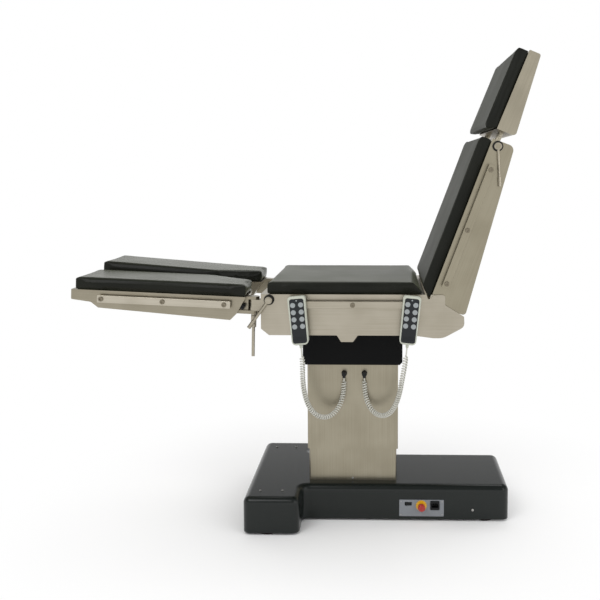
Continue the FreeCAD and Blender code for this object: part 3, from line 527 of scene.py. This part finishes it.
def inflatePad(piece):
    # The cover is blown up a little with the cloth solver, and no point may move further than the cap
    scene = bpy.context.scene
    start = [v.co.copy() for v in piece.data.vertices]
    cloth = piece.modifiers.new("foam", "CLOTH")
    cloth.settings.quality = padLook["quality"]
    cloth.settings.mass = padLook["mass"]
    cloth.settings.tension_stiffness = padLook["stiffness"]
    cloth.settings.compression_stiffness = padLook["stiffness"]
    cloth.settings.bending_stiffness = padLook["bending"]
    cloth.settings.use_pressure = True
    cloth.settings.uniform_pressure_force = padLook["pressure"]
    cloth.settings.effector_weights.gravity = 0
    cloth.collision_settings.use_collision = False
    cloth.point_cache.frame_start, cloth.point_cache.frame_end = 1, padLook["frames"]
    for number in range(1, padLook["frames"] + 1):
        scene.frame_set(number)
    swollen = piece.evaluated_get(bpy.context.evaluated_depsgraph_get()).to_mesh()
    for vertex, before, after in zip(piece.data.vertices, start, swollen.vertices):
        step = after.co - before
        reach = step.length
        vertex.co = before + step * min(1, padLook["cap"] * mm / max(reach, 1e-9))
    piece.modifiers.clear()
    scene.frame_set(1)


def makePad(node, body, section, cover):
    level = sectionMatrix(section)
    shape = bmesh.new()
    shape.from_mesh(nodes[node].data)
    bmesh.ops.remove_doubles(shape, verts=shape.verts, dist=1e-5)
    bmesh.ops.transform(shape, matrix=level.inverted(), verts=shape.verts)
    floorHeight = min(v.co.z for v in shape.verts)
    lowerEnd = min(v.co.x for v in shape.verts)
    mesh = bpy.data.meshes.new(node)
    shape.to_mesh(mesh)
    shape.free()
    draft = bpy.data.objects.new(node + "Draft", mesh)
    bpy.context.scene.collection.objects.link(draft)
    remesh = draft.modifiers.new("voxels", "REMESH")
    remesh.mode = "VOXEL"
    remesh.voxel_size = padLook["voxel"] * mm
    bpy.context.view_layer.update()
    fine = bpy.data.meshes.new_from_object(draft.evaluated_get(bpy.context.evaluated_depsgraph_get()))
    bpy.data.objects.remove(draft)
    shape = bmesh.new()
    shape.from_mesh(fine)
    softenShape(shape)
    shape.normal_update()
    for vertex in shape.verts:
        vertex.co -= vertex.normal * padLook["inset"] * mm
    shape.to_mesh(fine)
    shape.free()
    piece = bpy.data.objects.new("pad" + "".join(word.capitalize() for word in node.split("_")), fine)
    bpy.context.scene.collection.objects.link(piece)
    inflatePad(piece)
    shape = bmesh.new()
    shape.from_mesh(piece.data)
    softenShape(shape)
    for vertex in shape.verts:
        vertex.co.z = max(vertex.co.z, floorHeight)  # flat where it rests on the deck
        fromEnd = (vertex.co.x - lowerEnd) / (padLook["tuckRun"] * mm)
        # drawn in at its lower end, so that the back's pad clears the seat's deck
        vertex.co.x += max(0, 1 - fromEnd) * padLook["tuck"] * mm
    bmesh.ops.transform(shape, matrix=level, verts=shape.verts)
    shape.to_mesh(piece.data)
    shape.free()
    piece.data.materials.clear()
    piece.data.materials.append(cover)
    for face in piece.data.polygons:
        face.use_smooth = True
    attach(piece, body)
    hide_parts(node)


for node, (body, section, cover) in pads.items():
    makePad(node, body, section, cover)
print("cushions ready")

# Handset faces: a dark key field with three grip ribs and a small lamp

handset = {"front": 317.5, "field": (48, 150, 0.8), "fieldCorner": 8, "fieldEdge": 0.3,
           "ribs": 3, "rib": (38, 3, 1.5), "ribCorner": 1.2, "ribEdge": 0.4,
           "ribFirst": -66.4, "ribPitch": 5.2, "lampHeight": 69, "lamp": [(2.6, 0), (2.6, 0.5), (1.8, 1.1)],
           "spots": {"front": (-174, 747, -5.0), "rear": (198, 749, 5.8)}}


def handsetMatrix(which):
    x, z, lean = handset["spots"][which]
    place = Matrix.Translation((x * mm, -handset["front"] * mm, z * mm))
    return place @ Matrix.Rotation(math.radians(lean), 4, "Y")


def dressHandset(which):
    matrix = handsetMatrix(which)
    field = bmesh.new()
    fieldSize = [side * mm for side in handset["field"]]
    addPlate(field, fieldSize, handset["fieldCorner"] * mm, handset["fieldEdge"] * mm, matrix)
    ribSize = [side * mm for side in handset["rib"]]
    for n in range(handset["ribs"]):
        raised = Matrix.Translation((0, 0, (handset["ribFirst"] + n * handset["ribPitch"]) * mm))
        addPlate(field, ribSize, handset["ribCorner"] * mm, handset["ribEdge"] * mm, matrix @ raised)
    newPiece("keyField" + which.capitalize(), field, keyField, "seat")
    lamp = bmesh.new()
    spot = matrix @ Vector((0, -fieldSize[2], handset["lampHeight"] * mm))
    profile = [(radius * mm, height * mm) for radius, height in handset["lamp"]]
    addTurned(lamp, profile, axisMatrix(spot, (0, -1, 0)))
    newPiece("statusLamp" + which.capitalize(), lamp, keyCap, "seat")


for which in handset["spots"]:
    dressHandset(which)
print("handsets ready")

# Black nylon rings round the hubs of the clamp levers

clampRing = {"inner": 13.1, "outer": 17.6, "thick": 6.0}
clampPlaces = {"leg_clamp_lever_left": (-278, -262.4, 810), "leg_clamp_lever_right": (-278, 262.4, 810),
               "head_lever_left": (488.28, -257.9, 1326.86), "head_lever_right": (488.28, 257.9, 1326.86)}


def addRing(shape, inner, outer, thick, matrix):
    # A flat ring from the matrix's plane along its +Z, with a small chamfer outside
    part = bmesh.new()
    edge = thick / 6
    profile = [(inner, 0), (outer, 0), (outer, thick - edge), (outer - edge, thick), (inner, thick)]
    verts = [part.verts.new((radius, 0, height)) for radius, height in profile]
    edges = [part.edges.new(pair) for pair in zip(verts, verts[1:] + verts[:1])]
    bmesh.ops.spin(part, geom=verts + edges, cent=(0, 0, 0), axis=(0, 0, 1), angle=2 * math.pi,
                   steps=roundSteps["ring"], use_merge=True)
    bmesh.ops.remove_doubles(part, verts=part.verts, dist=1e-7)
    addTo(shape, part, matrix)


for node, (x, y, z) in clampPlaces.items():
    ring = bmesh.new()
    side = -1 if y < 0 else 1
    addRing(ring, clampRing["inner"] * mm, clampRing["outer"] * mm, clampRing["thick"] * mm,
            axisMatrix((x * mm, y * mm, z * mm), (0, side, 0)))
    newPiece("clampRing" + "".join(word.capitalize() for word in node.split("_")), ring, socketBlack, node)
print("clamp rings ready")

# Socket screws where the covers and rails are fastened

# A head of this size in mm is made larger or smaller by the kind's own factor
screw = {"head": 3.4, "high": 2.2, "shoulder": 0.75, "crown": 0.86, "socket": 1.7, "deep": 1.4,
         "factors": {"rail": 2.4, "cover": 1.2, "single": 1.3, "panel": 0.6}}


def addScrew(shape, place, axis, kind):
    factor = screw["factors"][kind] * mm
    r, h, s, d = (screw[k] * factor for k in ("head", "high", "socket", "deep"))
    profile = [(r, 0), (r, h * screw["shoulder"]), (r * screw["crown"], h), (s, h), (s, h - d)]
    addTurned(shape, profile, axisMatrix(place, axis))


# Where the rails are bolted on, in the level drawing and in mm
hingeLine = {"back": 282.6, "legs": -278}
legPosts = [(hingeLine["legs"] - x, 279.5, 788) for x in (150, 359, 568)]
railPosts = {
    "seat": [(6, 286, 796)],
    "back": [(hingeLine["back"] + x, 281.5, 798.6) for x in (62, 254, 468)],
    "legLeft": legPosts,
    "legRight": legPosts,
}
railSides = {"seat": (("seat", -1), ("seat", 1)), "back": (("back", -1), ("back", 1)),
             "legLeft": (("leg_left", -1),), "legRight": (("leg_right", 1),)}
for section, spots in railPosts.items():
    for body, side in railSides[section]:
        shape = bmesh.new()
        for x, y, z in spots:
            place = sectionMatrix(section) @ Vector((x * mm, side * y * mm, z * mm))
            addScrew(shape, place, (0, side, 0), "rail")
        where = section.capitalize() + ("Near" if side < 0 else "Far")
        newPiece("railScrews" + where, shape, boltSteel, body)

# On top of the base's cover, at the foot of the column, on the near side and in the panel's corners
up, near = (0, 0, 1), (0, -1, 0)
coverSpots = [(x, side * 228, 130, up, "cover") for x in (-320, -242) for side in (-1, 1)]
coverSpots += [(0, -120, 138, near, "single"), (428, -171, 43, near, "single")]
coverSpots += [(x, -173.5, z, near, "panel") for x in (173, 319.5) for z in (25, 73)]
coverScrews = bmesh.new()
for x, y, z, axis, kind in coverSpots:
    addScrew(coverScrews, (x * mm, y * mm, z * mm), axis, kind)
newPiece("coverScrews", coverScrews, zinc, "base")
print("screws ready")

# Floor, backdrop, light

# The floor fades to white between two radii in metres. The wall ends at the height wallTop of the
# horizon's unit sphere, and from ceilingFrom up the darker ceiling shows in mirrored rays.
studio = {"world": 0.85, "floorHalf": 20, "floorColour": (0.95, 0.95, 0.95, 1),
          "fadeStart": 0.45, "fadeEnd": 1.3, "wallTop": 0.24, "ceilingFrom": 0.4, "ceiling": 0.25}
softboxes = {
    "keySoftbox": {"place": (-1.6, -2.6, 3.4), "target": (0, 0, 0.8), "size": (1.8, 1.8), "power": 40},
    "fillSoftbox": {"place": (2.6, -2.2, 2.0), "target": (0, 0, 0.7), "size": (1.6, 2.0), "power": 16},
    "topSoftbox": {"place": (0.3, 1.4, 3.2), "target": (0.2, 0, 0.8), "size": (2.0, 1.6), "power": 18},
}


def seenRays(owner):
    # 1 for what the camera sees itself, and 1 for what mirrors and glass show
    path = addNode(owner, "ShaderNodeLightPath")
    mirrored = addNode(owner, "ShaderNodeMath", {"operation": "MAXIMUM"},
                       {0: path.outputs["Is Glossy Ray"], 1: path.outputs["Is Transmission Ray"]})
    return path.outputs["Is Camera Ray"], mirrored.outputs[0]


def whiteStage():
    # Takes the soft shadow near the object and fades to white further out
    material = bpy.data.materials.new("whiteStage")
    material.use_nodes = True
    material.node_tree.nodes.clear()
    place = addNode(material, "ShaderNodeTexCoord")
    radius = addNode(material, "ShaderNodeVectorMath", {"operation": "LENGTH"}, {0: place.outputs["Object"]})
    limits = {"From Min": studio["fadeStart"], "From Max": studio["fadeEnd"]}
    fade = addNode(material, "ShaderNodeMapRange", limits, {"Value": radius.outputs["Value"]})
    direct, mirrored = seenRays(material)
    seen = addNode(material, "ShaderNodeMath", {"operation": "MAXIMUM"}, {0: direct, 1: mirrored})
    shown = addNode(material, "ShaderNodeMath", {"operation": "MULTIPLY"},
                    {0: fade.outputs["Result"], 1: seen.outputs[0]})
    matt = addNode(material, "ShaderNodeBsdfDiffuse", {"Color": studio["floorColour"]})
    white = addNode(material, "ShaderNodeEmission", {"Color": (1, 1, 1, 1)})
    mixed = addNode(material, "ShaderNodeMixShader", None,
                    {0: shown.outputs[0], 1: matt.outputs[0], 2: white.outputs[0]})
    addNode(material, "ShaderNodeOutputMaterial", links={"Surface": mixed.outputs[0]})
    shape = bmesh.new()
    bmesh.ops.create_grid(shape, x_segments=1, y_segments=1, size=studio["floorHalf"])
    mesh = bpy.data.meshes.new("floor")
    shape.to_mesh(mesh)
    shape.free()
    mesh.materials.append(material)
    floor = bpy.data.objects.new("floor", mesh)
    bpy.context.scene.collection.objects.link(floor)


def addSoftbox(name, box):
    data = bpy.data.lights.new(name, "AREA")
    data.shape = "RECTANGLE"
    data.size, data.size_y = box["size"]
    data.energy = box["power"]
    lamp = bpy.data.objects.new(name, data)
    lamp.location = box["place"]
    lamp.rotation_euler = (Vector(box["target"]) - Vector(box["place"])).to_track_quat("-Z", "Y").to_euler()
    bpy.context.scene.collection.objects.link(lamp)


def lightStudio():
    world = bpy.data.worlds.new("paleStudio")
    bpy.context.scene.world = world
    world.use_nodes = True
    tree = world.node_tree
    tree.nodes.clear()
    # The white wall ends a little above the horizon and the ceiling is darker, as in a studio
    direct, mirrored = seenRays(world)
    place = addNode(world, "ShaderNodeTexCoord")
    way = addNode(world, "ShaderNodeSeparateXYZ", None, {"Vector": place.outputs["Generated"]})
    limits = {"From Min": studio["wallTop"], "From Max": studio["ceilingFrom"],
              "To Min": 1.0, "To Max": studio["ceiling"]}
    wall = addNode(world, "ShaderNodeMapRange", limits, {"Value": way.outputs["Z"]})
    lit = addNode(world, "ShaderNodeMapRange", {"To Min": studio["world"]},
                  {"Value": mirrored, "To Max": wall.outputs["Result"]})
    strength = addNode(world, "ShaderNodeMath", {"operation": "MAXIMUM"},
                       {0: direct, 1: lit.outputs["Result"]})
    sky = addNode(world, "ShaderNodeBackground", {"Color": (1, 1, 1, 1)}, {"Strength": strength.outputs[0]})
    addNode(world, "ShaderNodeOutputWorld", links={"Surface": sky.outputs["Background"]})
    for name, box in softboxes.items():
        addSoftbox(name, box)


whiteStage()
lightStudio()
bpy.context.scene.view_settings.view_transform = "Standard"
